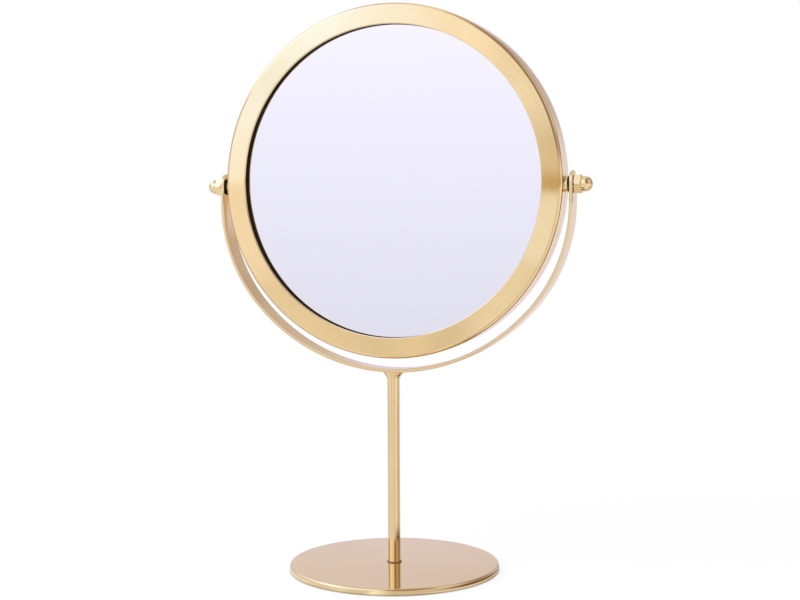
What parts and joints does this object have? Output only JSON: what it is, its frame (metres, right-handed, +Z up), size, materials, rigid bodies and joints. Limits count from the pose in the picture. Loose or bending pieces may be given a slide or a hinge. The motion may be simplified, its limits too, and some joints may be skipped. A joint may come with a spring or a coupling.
{
  "type": "swivel vanity mirror",
  "caption": "Free-standing round table mirror: a double-sided head in a pressed gold bezel turns in a half-hoop yoke on a thin stem and disc base.",
  "frame": {"origin": "centre of the underside of the base, on the table", "axes": "+Z up, -Y towards the user and the flat glass, +X to the user's right along the swivel axis"},
  "size_m": [0.23, 0.119, 0.3204],
  "materials": {
    "satin_gold": "satin",
    "polished_gold": "polished",
    "mirror_silver": "polished",
    "black_rubber": "matte",
    "black_nylon": "matte",
    "zinc_steel": "satin",
    "grey_plastic": "matte",
    "backing_board": "matte"
  },
  "bodies": {
    "stand": {"base_plate": "satin_gold", "base_pad": "black_rubber", "base_screw": "zinc_steel", "foot_washer": "black_nylon", "stem_tube": "satin_gold", "stem_insert": "zinc_steel", "stem_flare": "satin_gold", "yoke_hoop": "satin_gold"},
    "mirror_head": {"front_bezel": "satin_gold", "back_bezel": "satin_gold", "rim_band": "zinc_steel", "carrier_ring": "grey_plastic", "front_glass": "mirror_silver", "back_glass": "mirror_silver", "front_gasket": "black_rubber", "back_gasket": "black_rubber", "backing_disc": "backing_board", "pivot_stud_left": "zinc_steel", "pivot_stud_right": "zinc_steel", "lock_nut_left": "zinc_steel", "lock_nut_right": "zinc_steel", "pivot_collar_left": "polished_gold", "pivot_collar_right": "polished_gold", "friction_washer_left": "black_nylon", "friction_washer_right": "black_nylon", "acorn_nut_left": "polished_gold", "acorn_nut_right": "polished_gold"}
  },
  "joints": [
    {"name": "mirror_swivel", "type": "hinge", "parent": "stand", "child": "mirror_head", "pos_m": [0, 0, 0.218], "axis": [1, 0, 0], "continuous": true}
  ]
}
